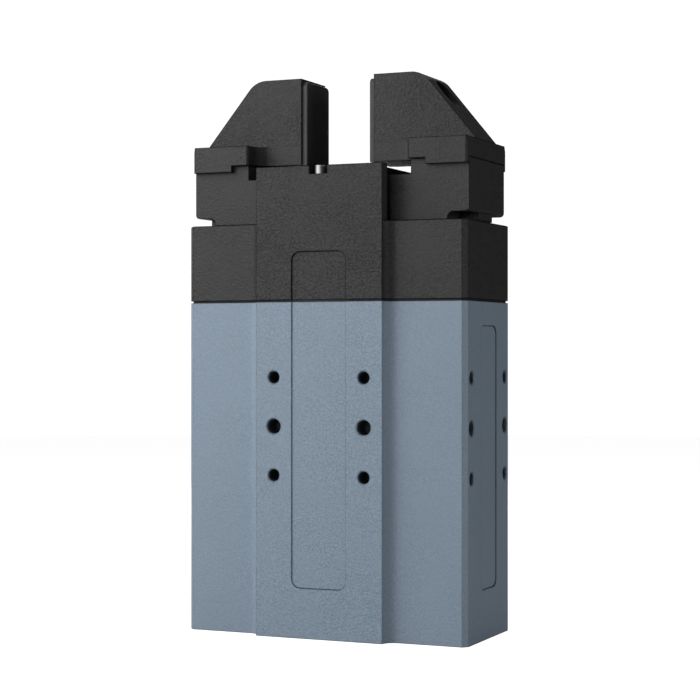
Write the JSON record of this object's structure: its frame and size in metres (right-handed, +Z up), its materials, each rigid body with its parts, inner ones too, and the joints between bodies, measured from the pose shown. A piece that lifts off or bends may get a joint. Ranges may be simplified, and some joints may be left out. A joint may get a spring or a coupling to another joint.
{
  "type": "parallel gripper",
  "caption": "Slim two-jaw parallel gripper with opposed sliding fingers on a flat rectangular motor housing, with screw and dowel holes on its faces.",
  "frame": {"origin": "centre of the housing's flat bottom face", "axes": "+Z up towards the fingertips, X along the jaw travel, -Y out of the front face"},
  "size_m": [0.062, 0.031, 0.1152],
  "materials": {
    "blue_grey_anodised": "fine bead-blasted satin, hard anodised blue-grey",
    "black_anodised": "fine bead-blasted matt black anodised",
    "grip_rubber": "smooth moulded polyurethane",
    "dark_rubber": "flat nitrile gasket",
    "black_plastic": "moulded glass-filled nylon",
    "bright_screw": "stainless",
    "black_screw": "black oxide",
    "ground_steel": "hardened and ground",
    "gear_steel": "cut and oiled",
    "nickel_plate": "nickel plated",
    "plain_aluminium": "milled",
    "brass": "turned",
    "gold_contact": "gold plated",
    "copper_winding": "enamelled copper wire",
    "dark_magnet": "nickel plated sintered magnet",
    "circuit_board": "solder mask"
  },
  "bodies": {
    "housing": {"lower_housing": "blue_grey_anodised", "upper_housing": "black_anodised", "housing_gasket": "dark_rubber", "housing_screws": "bright_screw", "centre_pins": "ground_steel", "bottom_cover": "black_anodised", "sunk_screws": "black_screw", "socket_shell": "nickel_plate", "socket_insulator": "black_plastic", "socket_pins": "gold_contact", "control_board": "circuit_board", "board_posts": "brass", "board_screws": "bright_screw", "board_components": "black_plastic", "motor_case": "nickel_plate", "motor_end_cap": "black_plastic", "encoder_board": "circuit_board", "stator_core": "ground_steel", "stator_coils": "copper_winding", "motor_bearing_outer_rings": "ground_steel", "output_bearing_outer_rings": "ground_steel", "ring_gear_case": "ground_steel", "guide_base": "plain_aluminium", "guide_rail_front": "ground_steel", "guide_rail_rear": "ground_steel", "guide_rail_screws": "bright_screw"},
    "motor_rotor": {"rotor_shaft": "ground_steel", "rotor_magnet": "dark_magnet", "encoder_magnet": "dark_magnet", "sun_gear": "gear_steel", "motor_bearing_inner_rings": "ground_steel"},
    "motor_bearing_cages": {"motor_bearing_balls": "ground_steel"},
    "output_shaft": {"planet_carrier": "gear_steel", "planet_pins": "ground_steel", "pinion": "gear_steel", "output_bearing_inner_rings": "ground_steel"},
    "output_bearing_cages": {"output_bearing_balls": "ground_steel"},
    "planet_1": {"planet_gear_1": "gear_steel"},
    "planet_2": {"planet_gear_2": "gear_steel"},
    "planet_3": {"planet_gear_3": "gear_steel"},
    "left_jaw": {"left_slider": "ground_steel", "left_rack": "gear_steel", "left_rack_screws": "bright_screw", "left_jaw_block": "black_anodised", "left_jaw_screws": "black_screw", "left_finger": "black_anodised", "left_grip_pad": "grip_rubber", "left_pad_screw": "black_screw"},
    "left_cage": {"left_ball_cages": "brass", "left_guide_balls": "ground_steel"},
    "right_jaw": {"right_slider": "ground_steel", "right_rack": "gear_steel", "right_rack_screws": "bright_screw", "right_jaw_block": "black_anodised", "right_jaw_screws": "black_screw", "right_finger": "black_anodised", "right_grip_pad": "grip_rubber", "right_pad_screw": "black_screw"},
    "right_cage": {"right_ball_cages": "brass", "right_guide_balls": "ground_steel"}
  },
  "joints": [
    {"name": "left_jaw_slide", "type": "slide", "parent": "housing", "child": "left_jaw", "axis": [1, 0, 0], "range_m": [0, 0.007]},
    {"name": "right_jaw_slide", "type": "slide", "parent": "housing", "child": "right_jaw", "axis": [-1, 0, 0], "range_m": [0, 0.007]},
    {"name": "left_cage_slide", "type": "slide", "parent": "housing", "child": "left_cage", "axis": [1, 0, 0], "range_m": [0, 0.0035]},
    {"name": "right_cage_slide", "type": "slide", "parent": "housing", "child": "right_cage", "axis": [-1, 0, 0], "range_m": [0, 0.0035]},
    {"name": "output_turn", "type": "hinge", "parent": "housing", "child": "output_shaft", "pos_m": [0, 0, 0.073], "axis": [0, 0, 1], "range_deg": [0, 89.3]},
    {"name": "rotor_turn", "type": "hinge", "parent": "housing", "child": "motor_rotor", "pos_m": [0, 0, 0.03], "axis": [0, 0, 1], "range_deg": [0, 356.7]},
    {"name": "motor_bearing_turn", "type": "hinge", "parent": "housing", "child": "motor_bearing_cages", "pos_m": [0, 0, 0.03], "axis": [0, 0, 1], "range_deg": [0, 145.2]},
    {"name": "output_bearing_turn", "type": "hinge", "parent": "housing", "child": "output_bearing_cages", "pos_m": [0, 0, 0.066], "axis": [0, 0, 1], "range_deg": [0, 37.6]},
    {"name": "planet_1_turn", "type": "hinge", "parent": "output_shaft", "child": "planet_1", "pos_m": [0.0054, 0, 0.053], "axis": [0, 0, 1], "range_deg": [-267.6, 0]},
    {"name": "planet_2_turn", "type": "hinge", "parent": "output_shaft", "child": "planet_2", "pos_m": [-0.0027, 0.00468, 0.053], "axis": [0, 0, 1], "range_deg": [-267.6, 0]},
    {"name": "planet_3_turn", "type": "hinge", "parent": "output_shaft", "child": "planet_3", "pos_m": [-0.0027, -0.00468, 0.053], "axis": [0, 0, 1], "range_deg": [-267.6, 0]}
  ],
  "couplings": [
    {"joint": "right_jaw_slide", "follows": "left_jaw_slide", "ratio": 1},
    {"joint": "left_cage_slide", "follows": "left_jaw_slide", "ratio": 0.5},
    {"joint": "right_cage_slide", "follows": "left_jaw_slide", "ratio": 0.5},
    {"joint": "output_turn", "follows": "left_jaw_slide", "rad_per_m": 222.22},
    {"joint": "rotor_turn", "follows": "left_jaw_slide", "rad_per_m": 888.89},
    {"joint": "motor_bearing_turn", "follows": "left_jaw_slide", "rad_per_m": 361.51},
    {"joint": "output_bearing_turn", "follows": "left_jaw_slide", "rad_per_m": 93.333},
    {"joint": "planet_1_turn", "follows": "left_jaw_slide", "rad_per_m": -666.67},
    {"joint": "planet_2_turn", "follows": "left_jaw_slide", "rad_per_m": -666.67},
    {"joint": "planet_3_turn", "follows": "left_jaw_slide", "rad_per_m": -666.67}
  ]
}
